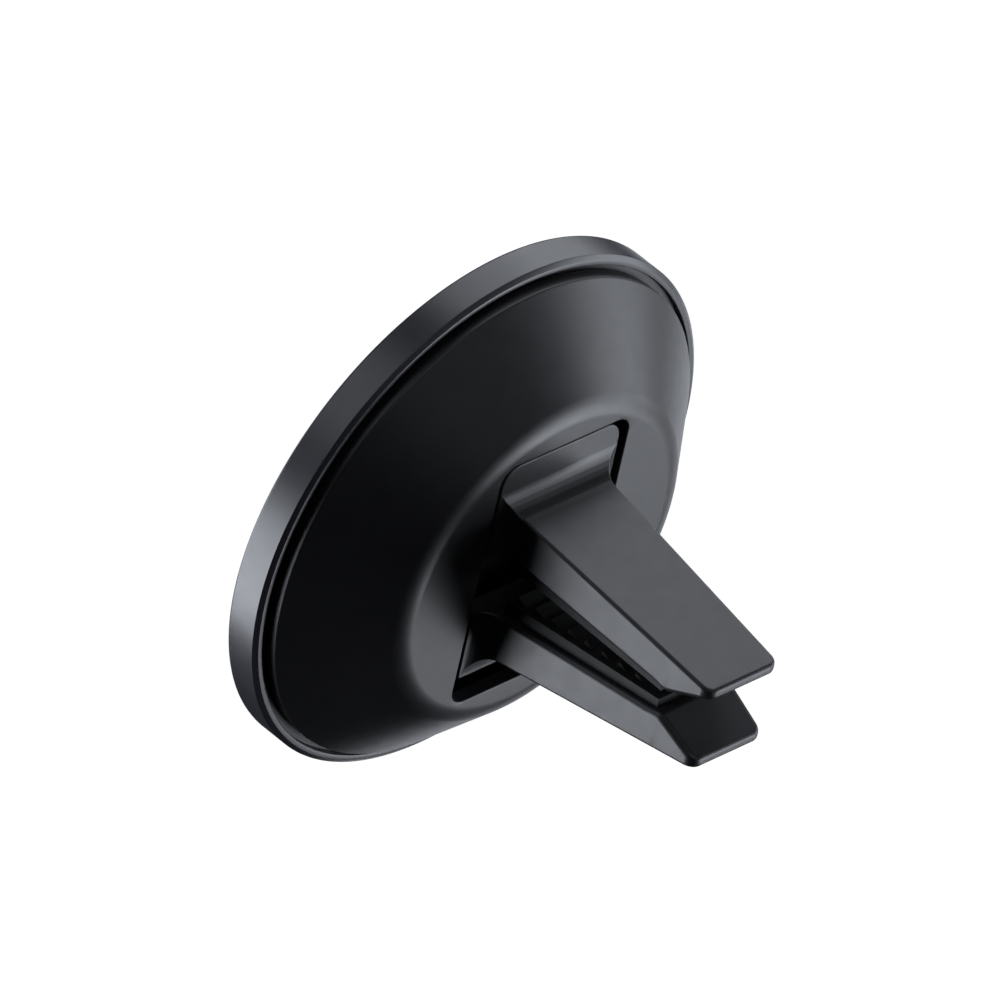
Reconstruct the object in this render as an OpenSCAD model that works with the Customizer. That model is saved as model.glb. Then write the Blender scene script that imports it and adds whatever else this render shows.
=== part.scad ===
// Magnetic phone mount for a car air vent.
// A round puck holds the phone, a domed back shell carries the puck on a turning spindle,
// and a sprung clip behind the shell grips one blade of the vent.

/* [Puck] */
// Outside diameter of the puck
puck_d = 60; // [58:0.5:76]
// Height of the puck's rim, from its front edge to its back edge
rim_h = 4; // [3.8:0.1:5]
// Wall of the rim
rim_wall = 1.05; // [0.9:0.05:1.3]
// Width of the bevel on the rim's back edge
rim_bevel_w = 0.5; // [0.2:0.05:0.8]
// Depth of the bevel on the rim's back edge
rim_bevel_h = 0.37; // [0.2:0.05:0.8]
// Width of the rim left bare around the front pad
pad_margin = 2.4; // [1.6:0.1:4]
// Thickness of the front pad
pad_t = 0.6; // [0.5:0.1:0.8]
// How far the front pad stands proud of the rim
pad_proud = 0.2; // [0.1:0.05:0.3]
// Thickness of the puck's floor behind the front pad
floor_t = 0.5; // [0.4:0.1:0.8]
// Number of arc magnets in the ring
magnet_count = 18; // [12:2:24]
// Radial width of the magnets
magnet_w = 4.2; // [3:0.1:5]
// Thickness of the magnets
magnet_t = 1.4; // [1:0.1:1.6]
// Gap between neighbouring magnets
magnet_gap = 0.4; // [0.2:0.1:0.8]
// Thickness of the steel ring behind the magnets
shunt_t = 0.4; // [0.3:0.1:0.6]
// Thickness of the puck's back plate
back_t = 0.6; // [0.5:0.1:1]

/* [Spindle] */
// Diameter of the hub that the puck turns on
hub_d = 8; // [6:0.5:10]
// Diameter of the steel washer that keeps the hub in place
washer_d = 11; // [10:0.5:12]
// Thickness of the steel washer
washer_t = 0.5; // [0.4:0.1:0.8]
// Thickness of the wave washer that gives the turning friction
wave_t = 0.2; // [0.1:0.05:0.3]
// Thickness of the glide ring between the puck and the shell
glide_t = 0.3; // [0.2:0.05:0.5]

/* [Back shell] */
// Depth of the whole body, from the rim's front edge to the flat back face
body_depth = 13.3; // [12.9:0.1:18]
// Width of the open gap between the puck's rim and the shell
ring_gap = 0.8; // [0.4:0.1:1.2]
// Height at which the shell's straight side turns into its slope
side_top_h = 5; // [4.9:0.1:6.5]
// Radius of the flat back face, out to where the slope would meet it
back_face_r = 18.55; // [17.5:0.1:22]
// Rounding between the flat back face and the slope
back_round = 3.5; // [1:0.25:4]
// Wall of the shell's slope and side
shell_wall = 1.4; // [1:0.1:1.8]
// Wall of the shell's flat back face
back_face_t = 1.6; // [1.2:0.1:2]
// Thickness of the carrier plate that closes the shell
carrier_t = 1.2; // [1:0.1:1.6]

/* [Clip] */
// Width of the slot in the back face
slot_w = 17.86; // [15:0.1:22]
// Height of the slot in the back face
slot_h = 29.96; // [27:0.1:32]
// Corner radius of the slot
slot_r = 2; // [1:0.1:2.2]
// Gap beside the jaws' flanges in the slot
flange_side_gap = 0.7; // [0.4:0.05:0.9]
// Gap above the upper jaw's flange
flange_top_gap = 0.45; // [0.2:0.05:0.6]
// How far the flanges' outer faces lie below the back face
flange_recess = 0.33; // [0:0.01:0.6]
// Open space below the lower jaw's flange, into which it swings
swing_gap = 3.0; // [2.6:0.1:5]
// Distance from the back face to the inner side of the jaws' flanges
flange_t = 2; // [1.8:0.1:2.4]
// Length of the jaws behind the back face
jaw_len = 28.3; // [24:0.1:34]
// Width of a jaw at its root
jaw_root_w = 12.6; // [10:0.1:13.5]
// Width of a jaw at its tip
jaw_tip_w = 9.86; // [8:0.1:12]
// Corner radius of a jaw's tip, seen from above
jaw_tip_r = 1.25; // [0.6:0.05:2]
// Distance from the clip's centre to the outer face of a jaw at its root
jaw_root_out = 9.2; // [8.6:0.1:9.8]
// Distance from the clip's centre to the outer face of a jaw at its tip
jaw_tip_out = 4.9; // [4.4:0.1:6]
// Distance from the clip's centre to the inner face of a jaw at its root
jaw_root_in = 3.5; // [3:0.1:4]
// Half of the opening between the jaws' lips when the clip is closed
lip_half = 1.35; // [1:0.05:1.8]
// Distance of the lips from the jaws' tips
lip_back = 5.5; // [4:0.1:7]
// Half of the mouth between the jaws' tips
mouth_half = 3.8; // [3:0.1:4]
// Rounding where a jaw spreads sideways into its flange
flare_r = 1.9; // [1:0.1:1.9]
// Rounding where a jaw's outer face meets its flange
root_r = 2.7; // [1:0.1:3]

/* [Grip pads] */
// Distance of the pads' rear ends from the back face
pad_start = 1.2; // [1:0.1:4]
// Length of the grip pads
grip_len = 20.6; // [17:0.1:20.8]
// Bare width of the jaw on each side of a grip pad
grip_margin = 0.9; // [0.5:0.1:1.6]
// Depth of the seat that a grip pad is bonded into
grip_seat = 0.4; // [0.2:0.1:0.6]
// Distance from the clip's centre to a pad's face at its rear end
grip_rear_half = 2.03; // [1.6:0.01:2.4]
// Distance from the clip's centre to a pad's face at its front end
grip_front_half = 0.55; // [0.5:0.05:0.9]
// Number of teeth on each pad
tooth_count = 8; // [4:1:8]
// Height of the teeth
tooth_h = 0.6; // [0.2:0.05:0.65]
// Length of a tooth's sloping back along the jaw
tooth_len = 1.36; // [1:0.02:2]
// Bare width of the pad on each side of its teeth
tooth_margin = 0.8; // [0.4:0.1:1.4]

/* [Hinge] */
// Depth of the hinge pin below the back face
pin_depth = 5.3; // [5:0.1:5.6]
// Distance of the hinge pin below the clip's centre
pin_drop = 8.5; // [8.3:0.1:9]
// Diameter of the hinge pin
pin_d = 2; // [1.6:0.1:2.4]
// Radial clearance of the lower jaw on its pin
pin_clear = 0.05; // [0.02:0.01:0.1]
// Outside radius of the knuckles around the pin
knuckle_r = 2.2; // [1.9:0.05:2.3]
// Width of each of the lower jaw's two hinge cheeks
cheek_w = 3; // [2:0.1:3.4]
// Wire diameter of the torsion spring
wire_d = 0.6; // [0.4:0.05:0.7]
// Number of turns of the torsion spring
spring_turns = 5; // [3:1:6]

/* [Hidden] */
$fn = 96;

// Small fits shared by all pieces
slip = 0.05;       // running clearance of a shaft in a hole, on the radius
seat_gap = 0.1;    // clearance around a piece that drops into a pocket
head_gap = 0.2;    // clearance around a screw's head in its access hole
tip_gap = 0.4;     // free depth of a hole beyond its screw's tip
eps = 0.01;        // how far a shallow cut runs past a face
past = 1;          // how far a deep cut runs past a face
arc_steps = 8;     // straight steps in a rounded corner of an outline

// Puck, measured from the rim's front edge
puck_r = puck_d / 2;
rim_in_r = puck_r - rim_wall;
pad_r = puck_r - pad_margin;
pad_back_h = pad_t - pad_proud;
magnet_h = pad_back_h + floor_t;
shunt_h = magnet_h + magnet_t;
back_h = shunt_h + shunt_t;
back_top_h = back_h + back_t;
magnet_rib_w = 0.6;                                  // ribs that locate the magnets
magnet_inset = 1.2;                                  // space between the rim and the outer rib
magnet_out_r = rim_in_r - magnet_inset - magnet_rib_w;
magnet_in_r = magnet_out_r - magnet_w;

// Carrier plate and spindle
carrier_h = back_top_h + glide_t;
carrier_top = carrier_h + carrier_t;
hub_r = hub_d / 2;
hub_top = carrier_top + wave_t;
hub_floor = 1;            // solid end of the hub below its screw hole
glide_r = 17;             // outer radius of the glide ring
glide_w = 1.8;            // radial width of the glide ring
washer_r = washer_d / 2;
wave_inset = 0.4;         // how much smaller the wave washer's radius is than the steel washer's

// Small screws and rivets
screw_r = 1;              // shank radius of the screws
pan_r = 1.8;              // radius of a pan head
pan_h = 0.9;              // height of a pan head
flat_r = 1.9;             // radius of a countersunk head
flat_h = 0.9;             // height of a countersunk head
drive_r = 0.6;            // radius of the cross recess in a head
drive_w = 0.35;           // width of one slot of the cross recess
drive_depth = 0.45;       // depth of the cross recess
rivet_r = 0.9;            // shank radius of the rivets
rivet_head_r = 1.5;       // radius of a rivet's head
rivet_head_h = 0.5;       // height of a rivet's head

// Back shell
shell_r = rim_in_r - ring_gap;
slope_vec = [back_face_r - shell_r, body_depth - side_top_h];
slope_in = shell_wall * norm(slope_vec) / slope_vec[1];      // wall measured along the radius
function slope_r(h) = shell_r + slope_vec[0] * (h - side_top_h) / slope_vec[1];
function slope_in_r(h) = min(shell_r - shell_wall, slope_r(h) - slope_in);
in_face_h = body_depth - back_face_t;
in_turn_h = side_top_h + (slope_in - shell_wall) * slope_vec[1] / slope_vec[0];
carrier_r = slope_in_r(carrier_top) - seat_gap;
side_edge_r = 0.25;                                   // rounding between the side and the slope
boss_r = 2.3;
boss_inset = 0.2;
boss_ring_r = slope_r(in_face_h) - boss_inset;        // pitch radius of the screw bosses
boss_cap = 4.5;                                       // solid end of a boss beyond its screw hole
boss_bore_h = body_depth - boss_cap;
boss_count = 4;

// Clip outlines: l runs out of the back face along the jaws, u is up from the clip's centre
grip_l = pad_start + grip_len / 2;                   // middle of the grip pads
face_to_grip = body_depth + grip_l;
flange_half = slot_w / 2 - flange_side_gap;
flange_face = body_depth - flange_recess;            // height of the flanges' outer faces
upper_flange_u = slot_h / 2 - flange_top_gap;
lower_flange_u = slot_h / 2 - swing_gap;
upper_corner_r = 2;                                  // corners of the upper jaw's flange
lower_corner_r = 0.4;                                // corners of the lower jaw's flange
lip_l = jaw_len - lip_back;
tip_edge_r = 0.45;
lip_round = 1.2;
lip_ramp = 1.5;                                      // length of the short rise to a lip
lip_rise = 0.3;                                      // height of the short rise to a lip
seat_l = 1.5;                                        // straight start of the jaws' inner faces
cover_t = 0.8;                                       // wall of the cover behind the throat
cover_h = body_depth - pin_depth - cover_t;
cover_end_gap = 0.8;                                 // space between the cover and the knuckles
cover_end_u = pin_drop - knuckle_r - cover_end_gap;
cover_r = 0.5;
upper_wall = 1.6;                                    // wall that joins the cover to the upper flange
upper_wall_r = 0.3;
pad_end = pad_start + grip_len;
pad_end_t = 0.5;                                     // least thickness of a pad at its front end
tooth_first = 0.5;                                   // bare length of a pad before its first tooth
tooth_ends = 2.4;                                    // bare length of a pad at both ends together
tooth_root = 0.1;                                    // how deep a tooth is set into its pad
tooth_rake = 0.18;                                   // how far a tooth's steep face leans
inner_slope = (jaw_root_in - lip_half - lip_rise) / (lip_l - seat_l - lip_ramp);
function inner_u(l) = jaw_root_in - inner_slope * (l - seat_l);
function jaw_half(l) = (jaw_root_w + (jaw_tip_w - jaw_root_w) * l / jaw_len) / 2;
function grip_u(l) = grip_rear_half + (grip_front_half - grip_rear_half) * (l - pad_start) / grip_len;

// Hinge
pin_r = pin_d / 2;
pin_h = body_depth - pin_depth;
lug_gap = 0.35;                                      // space between the slot's side and a lug
lug_t = 0.8;
lug_x = slot_w / 2 + lug_gap;
lug_r = 2;
lug_foot = 0.6;                                      // spread of a lug's foot on each side
clip_t = 0.4;                                        // thickness of the retaining clips
clip_w = 0.8;                                        // radial width of the retaining clips
clip_mouth = 0.6;                                    // half of a retaining clip's mouth, in pin radii
pin_proud = 0.5;                                     // how far the pin stands out of its clips
pin_half = lug_x + lug_t + clip_t + pin_proud;
cheek_inset = 1.1;                                   // from the flange's edge to a hinge cheek
cheek_x = flange_half - cheek_inset - cheek_w;
frame_t = 0.8;
frame_top = carrier_top + frame_t;
frame_side = 1.4;                                    // frame beyond the lugs, sideways
frame_end = 4.6;                                     // frame beyond the lugs, up and down
frame_half_x = lug_x + lug_t + frame_side;
frame_half_u = pin_drop + lug_r + frame_end;
frame_hole_gap = 0.8;                                // space around the steel washer
rivet_side = 2.2;                                    // from the frame's side edge to a rivet
rivet_end = 1.8;                                     // from the frame's top or bottom edge to a rivet
rivet_x = frame_half_x - rivet_side;
rivet_u = frame_half_u - rivet_end;
jaw_screw_x = 5;
jaw_screw_u = 10.2;
jaw_boss_r = 2;                                      // bosses that the jaw screws go into
stop_w = 1.1;                                        // reach of the lower jaw's stops past the slot
stop_t = 0.9;
stop_top = in_face_h - seat_gap;
stop_start = 0.9;                                    // from the pin to the stop bar
stop_end = 0.4;                                      // from the stop bar to the flange's edge
spring_clear = 0.4;
wire_r = wire_d / 2;
coil_r = pin_r + spring_clear + wire_r;
coil_spread = 1.08;                                  // pitch of the coil, in wire diameters
coil_len = spring_turns * wire_d * coil_spread;
coil_step = 20;                                      // degrees from one point of the coil to the next
leg_inset = 0.5;
leg_end_u = lower_flange_u - pin_drop - leg_inset;   // reach of the spring's legs from the pin
foot = 0.8;                                          // flat end of a leg, where it bears

// Colours
c_black = [0.07, 0.07, 0.08];
c_shell = [0.11, 0.11, 0.12];
c_rim = [0.20, 0.20, 0.22];
c_rubber = [0.05, 0.05, 0.05];
c_steel = [0.62, 0.63, 0.65];
c_nickel = [0.74, 0.74, 0.72];
c_glide = [0.86, 0.86, 0.82];

// ---------------------------------------------------------------- outlines

function unit(v) = v / norm(v);
function across(a, b) = a[0] * b[1] - a[1] * b[0];

// Points of the arc that rounds corner c between neighbours p and q
function corner_arc(p, c, q, r) =
    r == 0 ? [c] :
    let (
        a = unit(p - c),
        b = unit(q - c),
        half = acos(a * b) / 2,
        mid = c + unit(a + b) * r / sin(half),
        from = c + a * r / tan(half) - mid,
        to = c + b * r / tan(half) - mid,
        start = atan2(from[1], from[0]),
        turn = sign(across(from, to)) * (180 - 2 * half)
    )
    [for (i = [0:arc_steps]) mid + r * [cos(start + turn * i / arc_steps), sin(start + turn * i / arc_steps)]];

// Outline with every corner rounded by its own radius; each entry is [x, y, radius]
function rounded(corners) =
    let (n = len(corners), at = [for (c = corners) [c[0], c[1]]])
    [for (i = [0:n - 1]) each corner_arc(at[(i + n - 1) % n], at[i], at[(i + 1) % n], corners[i][2])];

function mirrored_x(pts) = [for (i = [len(pts) - 1:-1:0]) [-pts[i][0], pts[i][1], pts[i][2]]];

// ---------------------------------------------------------------- placing and shared shapes

// Stands the mount in its place in use: local Z becomes +Y, local Y becomes +Z
module in_place() {
    translate([0, -face_to_grip, 0]) rotate([90, 0, 180]) children();
}

// Extrudes an outline of [height, up] points sideways, centred
module side_slab(outline, width) {
    rotate([0, -90, 0]) linear_extrude(height = width, center = true) polygon(outline);
}

// Extrudes an outline of [sideways, height] points up and down, centred
module plan_slab(outline, height) {
    rotate([90, 0, 0]) linear_extrude(height = height, center = true) polygon(outline);
}

module ring(r_out, r_in, h0, h1) {
    translate([0, 0, h0]) difference() {
        cylinder(r = r_out, h = h1 - h0);
        translate([0, 0, -eps]) cylinder(r = r_in, h = h1 - h0 + 2 * eps);
    }
}

module disc(r, h0, h1) {
    translate([0, 0, h0]) cylinder(r = r, h = h1 - h0);
}

module x_rod(r, x0, x1) {
    translate([x0, 0, 0]) rotate([0, 90, 0]) cylinder(r = r, h = x1 - x0);
}

module round_copies(count, r) {
    for (i = [0:count - 1]) rotate(i * 360 / count) translate([r, 0, 0]) children();
}

module four_corners(x, y) {
    for (sx = [-1, 1], sy = [-1, 1]) translate([sx * x, sy * y, 0]) children();
}

// Cross recess, cut downwards from height 0
module cross_recess() {
    for (a = [0, 90]) rotate(a) translate([-drive_r, -drive_w / 2, -drive_depth])
        cube([2 * drive_r, drive_w, drive_depth + eps]);
}

// Pan-head screw, its shank up from the origin and its head below it
module pan_screw(length) {
    cylinder(r = screw_r - slip, h = length);
    difference() {
        translate([0, 0, -pan_h]) cylinder(r = pan_r, h = pan_h);
        translate([0, 0, -pan_h]) mirror([0, 0, 1]) cross_recess();
    }
}

// Countersunk screw, its flat head's face at the origin and its shank above it
module flat_screw(length) {
    difference() {
        union() {
            cylinder(r1 = flat_r, r2 = screw_r - slip, h = flat_h);
            cylinder(r = screw_r - slip, h = length);
        }
        mirror([0, 0, 1]) cross_recess();
    }
}

// ---------------------------------------------------------------- puck

module front_pad() {
    color(c_rubber) in_place() disc(pad_r - seat_gap, -pad_proud, pad_back_h);
}

module puck_cup() {
    rim = [
        [pad_r, 0], [puck_r, 0], [puck_r, rim_h - rim_bevel_h], [puck_r - rim_bevel_w, rim_h],
        [rim_in_r, rim_h], [rim_in_r, magnet_h], [0, magnet_h], [0, pad_back_h], [pad_r, pad_back_h]
    ];
    color(c_rim) in_place() {
        rotate_extrude() polygon(rim);
        ring(magnet_out_r + magnet_rib_w, magnet_out_r + seat_gap, magnet_h - eps, back_h);
        ring(magnet_in_r - seat_gap, magnet_in_r - magnet_rib_w, magnet_h - eps, back_h);
    }
}

module magnet_ring() {
    pitch = 360 / magnet_count;
    half_gap = magnet_gap / 2;
    color(c_nickel) in_place() for (i = [0:magnet_count - 1]) rotate(i * pitch) intersection() {
        ring(magnet_out_r, magnet_in_r, magnet_h, shunt_h);
        translate([0, half_gap, magnet_h]) linear_extrude(height = magnet_t)
            polygon([[0, 0], [puck_d, 0], [puck_d * cos(pitch), puck_d * sin(pitch) - 2 * half_gap]]);
    }
}

module shunt_ring() {
    color(c_steel) in_place() ring(magnet_out_r, magnet_in_r, shunt_h, back_h);
}

module puck_back() {
    color(c_black) in_place() difference() {
        union() {
            disc(rim_in_r - slip, back_h, back_top_h);
            disc(hub_r, magnet_h + seat_gap, hub_top);
        }
        disc(screw_r, magnet_h + hub_floor, hub_top + eps);
        round_copies(boss_count, boss_ring_r) disc(flat_r + head_gap, back_h - eps, back_top_h + eps);
    }
}

module spindle_washer() {
    color(c_steel) in_place() ring(washer_r, screw_r + seat_gap, hub_top, hub_top + washer_t);
}

module spindle_screw() {
    length = hub_top + washer_t - magnet_h - hub_floor - tip_gap;
    color(c_steel) in_place() translate([0, 0, hub_top + washer_t]) mirror([0, 0, 1]) pan_screw(length);
}

module wave_washer() {
    color(c_steel) in_place() ring(washer_r - wave_inset, hub_r + seat_gap, carrier_top, hub_top);
}

// ---------------------------------------------------------------- back shell

module glide_ring() {
    color(c_glide) in_place() ring(glide_r, glide_r - glide_w, back_top_h, carrier_h);
}

module carrier_plate() {
    color(c_black) in_place() difference() {
        disc(carrier_r, carrier_h, carrier_top);
        disc(hub_r + slip, carrier_h - eps, carrier_top + eps);
        round_copies(boss_count, boss_ring_r) translate([0, 0, carrier_h]) {
            translate([0, 0, -eps]) cylinder(r = screw_r, h = carrier_t + 2 * eps);
            cylinder(r1 = flat_r + slip, r2 = screw_r, h = flat_h);
        }
        four_corners(rivet_x, rivet_u) translate([0, 0, carrier_h]) {
            translate([0, 0, -eps]) cylinder(r = rivet_r + slip, h = carrier_t + 2 * eps);
            cylinder(r1 = flat_r + slip, r2 = rivet_r + slip, h = flat_h);
        }
        for (side = [-1, 1]) translate([side * jaw_screw_x, jaw_screw_u, 0])
            disc(pan_r + head_gap, carrier_h - eps, carrier_top + eps);
    }
}

module shell_solid() {
    outline = rounded([
        [0, carrier_h, 0], [shell_r, carrier_h, 0], [shell_r, side_top_h, side_edge_r],
        [back_face_r, body_depth, back_round], [0, body_depth, 0]
    ]);
    rotate_extrude() polygon(outline);
}

module shell_hollow() {
    r = shell_r - shell_wall;
    outline = [
        [0, carrier_h - past], [r, carrier_h - past], [r, in_turn_h],
        [slope_in_r(in_face_h), in_face_h], [0, in_face_h]
    ];
    rotate_extrude() polygon(outline);
}

module slot_outline() {
    x = slot_w / 2;
    u = slot_h / 2;
    polygon(rounded([[-x, -u, slot_r], [x, -u, slot_r], [x, u, slot_r], [-x, u, slot_r]]));
}

module back_shell() {
    color(c_shell) in_place() difference() {
        union() {
            difference() {
                shell_solid();
                shell_hollow();
            }
            intersection() {
                shell_solid();
                round_copies(boss_count, boss_ring_r) disc(boss_r, carrier_top, body_depth);
            }
        }
        translate([0, 0, in_face_h - past]) linear_extrude(height = back_face_t + 2 * past) slot_outline();
        round_copies(boss_count, boss_ring_r) disc(screw_r, carrier_top - eps, boss_bore_h);
    }
}

module shell_screws() {
    color(c_steel) in_place() round_copies(boss_count, boss_ring_r)
        translate([0, 0, carrier_h]) flat_screw(boss_bore_h - carrier_h - tip_gap);
}

// ---------------------------------------------------------------- clip frame and hinge

module clip_frame() {
    lug_side = [
        [carrier_top, -lug_r - lug_foot], [frame_top, -lug_r - lug_foot], [pin_h, -lug_r],
        [pin_h, lug_r], [frame_top, lug_r + lug_foot], [carrier_top, lug_r + lug_foot]
    ];
    color(c_steel) in_place() difference() {
        union() {
            translate([-frame_half_x, -frame_half_u, carrier_top])
                cube([2 * frame_half_x, 2 * frame_half_u, frame_t]);
            for (side = [-1, 1]) translate([side * (lug_x + lug_t / 2), -pin_drop, 0]) {
                side_slab(lug_side, lug_t);
                translate([0, 0, pin_h]) x_rod(lug_r, -lug_t / 2, lug_t / 2);
            }
        }
        disc(washer_r + frame_hole_gap, carrier_top - eps, frame_top + eps);
        translate([0, -pin_drop, pin_h]) x_rod(pin_r + slip / 2, -pin_half, pin_half);
        four_corners(rivet_x, rivet_u) disc(rivet_r + slip, carrier_top - eps, frame_top + eps);
        for (side = [-1, 1]) translate([side * jaw_screw_x, jaw_screw_u, 0])
            disc(screw_r + slip, carrier_top - eps, frame_top + eps);
    }
}

module frame_rivets() {
    color(c_steel) in_place() four_corners(rivet_x, rivet_u) {
        disc(rivet_r, carrier_h, frame_top + rivet_head_h);
        translate([0, 0, carrier_h]) cylinder(r1 = flat_r, r2 = rivet_r, h = flat_h);
        disc(rivet_head_r, frame_top, frame_top + rivet_head_h);
    }
}

module hinge_pin() {
    color(c_steel) in_place() translate([0, -pin_drop, pin_h]) x_rod(pin_r, -pin_half, pin_half);
}

module pin_clips() {
    x0 = lug_x + lug_t;
    color(c_steel) in_place() for (side = [-1, 1]) translate([side * (x0 + clip_t / 2), -pin_drop, pin_h])
        difference() {
            x_rod(pin_r + clip_w, -clip_t / 2, clip_t / 2);
            x_rod(pin_r, -clip_t, clip_t);
            translate([-clip_t, -pin_r * clip_mouth, 0]) cube([2 * clip_t, pin_d * clip_mouth, 2 * pin_d]);
        }
}

// ---------------------------------------------------------------- jaws

// Outline of a jaw seen from above: wide flange, flared root, tapering arm, rounded tip
function jaw_plan() =
    let (
        base = [flange_half, carrier_top, 0],
        right = [
            base, [flange_half, flange_face, 0], [jaw_half(0), flange_face, flare_r],
            [jaw_half(jaw_len), body_depth + jaw_len, jaw_tip_r]
        ]
    )
    rounded(concat(right, mirrored_x(right)));

// Corners of the arm part of a jaw's side outline, from the flange around the tip to the throat
function arm_side() = [
    [flange_face, jaw_root_out, root_r],
    [body_depth + jaw_len, jaw_tip_out, tip_edge_r],
    [body_depth + jaw_len, mouth_half, tip_edge_r],
    [body_depth + lip_l, lip_half, lip_round],
    [body_depth + lip_l - lip_ramp, inner_u(lip_l - lip_ramp), 0],
    [body_depth + seat_l, jaw_root_in, 0]
];

// Side outline of a grip pad without its teeth, set into the jaw by depth
function grip_side(depth) = [
    [body_depth + pad_start, inner_u(pad_start) + depth],
    [body_depth + pad_start, grip_u(pad_start)],
    [body_depth + pad_end, grip_u(pad_end)],
    [body_depth + pad_end, max(inner_u(pad_end), grip_u(pad_end) + pad_end_t) + depth]
];

// Tapering strip seen from above, as far in from the jaw's sides as margin
module grip_plan(margin) {
    a = jaw_half(pad_start) - margin;
    b = jaw_half(pad_end) - margin;
    plan_slab([[a, body_depth + pad_start], [b, body_depth + pad_end],
        [-b, body_depth + pad_end], [-a, body_depth + pad_start]], slot_h);
}

// One tooth: steep on the side of the jaw's root, so that a blade goes in easily and stays
module grip_tooth(l) {
    side_slab([
        [body_depth + l, grip_u(l) + tooth_root], [body_depth + l, grip_u(l)],
        [body_depth + l + tooth_rake, grip_u(l + tooth_rake) - tooth_h],
        [body_depth + l + tooth_len, grip_u(l + tooth_len)],
        [body_depth + l + tooth_len, grip_u(l + tooth_len) + tooth_root]
    ], slot_w);
}

// Body of a pad, and the seat that it is bonded into
module grip_slab() {
    intersection() {
        side_slab(grip_side(grip_seat), slot_w);
        grip_plan(grip_margin);
    }
}

// Pad for the upper side of the clip
module grip_pad_shape() {
    first = pad_start + tooth_first;
    pitch = (grip_len - tooth_ends) / tooth_count;
    grip_slab();
    intersection() {
        for (i = [0:tooth_count - 1]) grip_tooth(first + i * pitch);
        grip_plan(grip_margin + tooth_margin);
    }
}

module flange_outline(top_u, corner_r) {
    x = flange_half;
    polygon(rounded([[-x, -slot_h / 2, 0], [x, -slot_h / 2, 0], [x, top_u, corner_r], [-x, top_u, corner_r]]));
}

module jaw_body(side, top_u, corner_r) {
    difference() {
        intersection() {
            side_slab(rounded(side), slot_w);
            plan_slab(jaw_plan(), 2 * slot_h);
            linear_extrude(height = body_depth + jaw_len + past) flange_outline(top_u, corner_r);
        }
        grip_slab();
    }
}

module upper_jaw() {
    flange_h = body_depth - flange_t;
    side = concat(
        [[flange_face, upper_flange_u, 0]], arm_side(),
        [
            [cover_h + cover_t, jaw_root_in, cover_r], [cover_h + cover_t, -cover_end_u, 0],
            [cover_h, -cover_end_u, 0], [cover_h, jaw_root_in + upper_wall, upper_wall_r],
            [flange_h, jaw_root_in + upper_wall, upper_wall_r], [flange_h, upper_flange_u, 0]
        ]
    );
    color(c_black) in_place() difference() {
        union() {
            jaw_body(side, upper_flange_u, upper_corner_r);
            for (s = [-1, 1]) translate([s * jaw_screw_x, jaw_screw_u, 0])
                disc(jaw_boss_r, frame_top, flange_h + eps);
        }
        for (s = [-1, 1]) translate([s * jaw_screw_x, jaw_screw_u, 0])
            disc(screw_r, frame_top - eps, flange_h);
    }
}

module jaw_screws() {
    length = body_depth - flange_t - carrier_top - tip_gap;
    color(c_steel) in_place() for (s = [-1, 1]) translate([s * jaw_screw_x, jaw_screw_u, carrier_top])
        pan_screw(length);
}

module upper_jaw_pad() {
    color(c_rubber) in_place() grip_pad_shape();
}

module lower_jaw() {
    flange_h = body_depth - flange_t;
    side = concat(
        [[flange_face, lower_flange_u, 0]], arm_side(),
        [[flange_h, jaw_root_in, 0], [flange_h, lower_flange_u, 0]]
    );
    cheek_root = [
        [flange_h + eps, pin_drop + knuckle_r], [pin_h, pin_drop + knuckle_r],
        [pin_h, pin_drop - knuckle_r], [flange_h + eps, pin_drop - knuckle_r]
    ];
    color(c_black) in_place() mirror([0, 1, 0]) difference() {
        union() {
            jaw_body(side, lower_flange_u, lower_corner_r);
            for (s = [-1, 1]) translate([s * (cheek_x + cheek_w / 2), 0, 0]) {
                side_slab(cheek_root, cheek_w);
                translate([0, pin_drop, pin_h]) x_rod(knuckle_r, -cheek_w / 2, cheek_w / 2);
            }
            translate([-slot_w / 2 - stop_w, pin_drop + stop_start, stop_top - stop_t])
                cube([slot_w + 2 * stop_w, lower_flange_u - pin_drop - stop_start - stop_end, stop_t]);
        }
        translate([0, pin_drop, pin_h]) x_rod(pin_r + pin_clear, -slot_w, slot_w);
    }
}

module lower_jaw_pad() {
    color(c_rubber) in_place() mirror([0, 1, 0]) grip_pad_shape();
}

// ---------------------------------------------------------------- spring

// Path of the spring's wire around the pin: a leg to the jaw's stop bar, the turns, a leg to the frame
turned = 360 * spring_turns - 180;
function coil_point(a) = [coil_len * (a / turned - 0.5), coil_r * sin(a), coil_r * cos(a)];
jaw_leg_h = stop_top - stop_t - pin_h - wire_r - slip;
frame_leg_h = frame_top - pin_h + wire_r + slip;
function spring_path() = concat(
    [[-coil_len / 2, -leg_end_u, jaw_leg_h], [-coil_len / 2, -leg_end_u + foot, jaw_leg_h]],
    [for (a = [0:coil_step:turned]) coil_point(a)],
    [[coil_len / 2, -leg_end_u + foot, frame_leg_h], [coil_len / 2, -leg_end_u, frame_leg_h]]
);

// Tube of eight sides along a path that winds around the X axis
module wire(path, r) {
    n = len(path);
    sides = 8;
    ring_points = [for (i = [0:n - 1])
        let (
            ahead = unit(path[min(i + 1, n - 1)] - path[max(i - 1, 0)]),
            out = unit(cross(ahead, [1, 0, 0])),
            over = cross(ahead, out)
        )
        for (k = [0:sides - 1]) path[i] + r * (out * cos(360 * k / sides) + over * sin(360 * k / sides))
    ];
    walls = [for (i = [0:n - 2], k = [0:sides - 1])
        [i * sides + k, i * sides + (k + 1) % sides, (i + 1) * sides + (k + 1) % sides, (i + 1) * sides + k]];
    first = [for (k = [sides - 1:-1:0]) k];
    last = [for (k = [0:sides - 1]) (n - 1) * sides + k];
    polyhedron(points = ring_points, faces = concat(walls, [first, last]), convexity = 10);
}

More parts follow.
